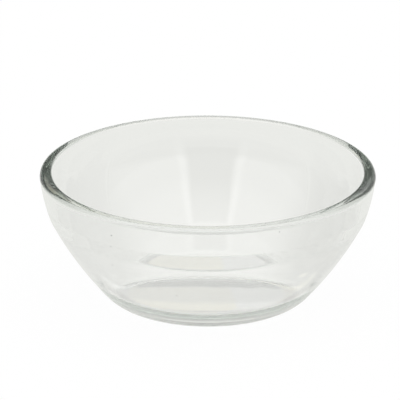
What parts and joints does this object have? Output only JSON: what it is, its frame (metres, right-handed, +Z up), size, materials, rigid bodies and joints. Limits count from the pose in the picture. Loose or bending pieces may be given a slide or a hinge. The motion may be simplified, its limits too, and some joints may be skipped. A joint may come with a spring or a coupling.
{
  "type": "prep bowl",
  "caption": "Small round prep bowl of clear pressed glass, with a steep band and soft shoulder below a rounded rim, curved walls and a flat base.",
  "frame": {"origin": "centre of the circle that the bowl stands on, in the plane of the table", "axes": "+Z up along the bowl's axis of revolution; +X and +Y are alike, because the bowl is round"},
  "size_m": [0.115, 0.115, 0.045],
  "materials": {
    "clear_glass": "polished clear pressed soda-lime glass with a faint green cast"
  },
  "bodies": {
    "root": {"bowl": "clear_glass"}
  },
  "joints": []
}
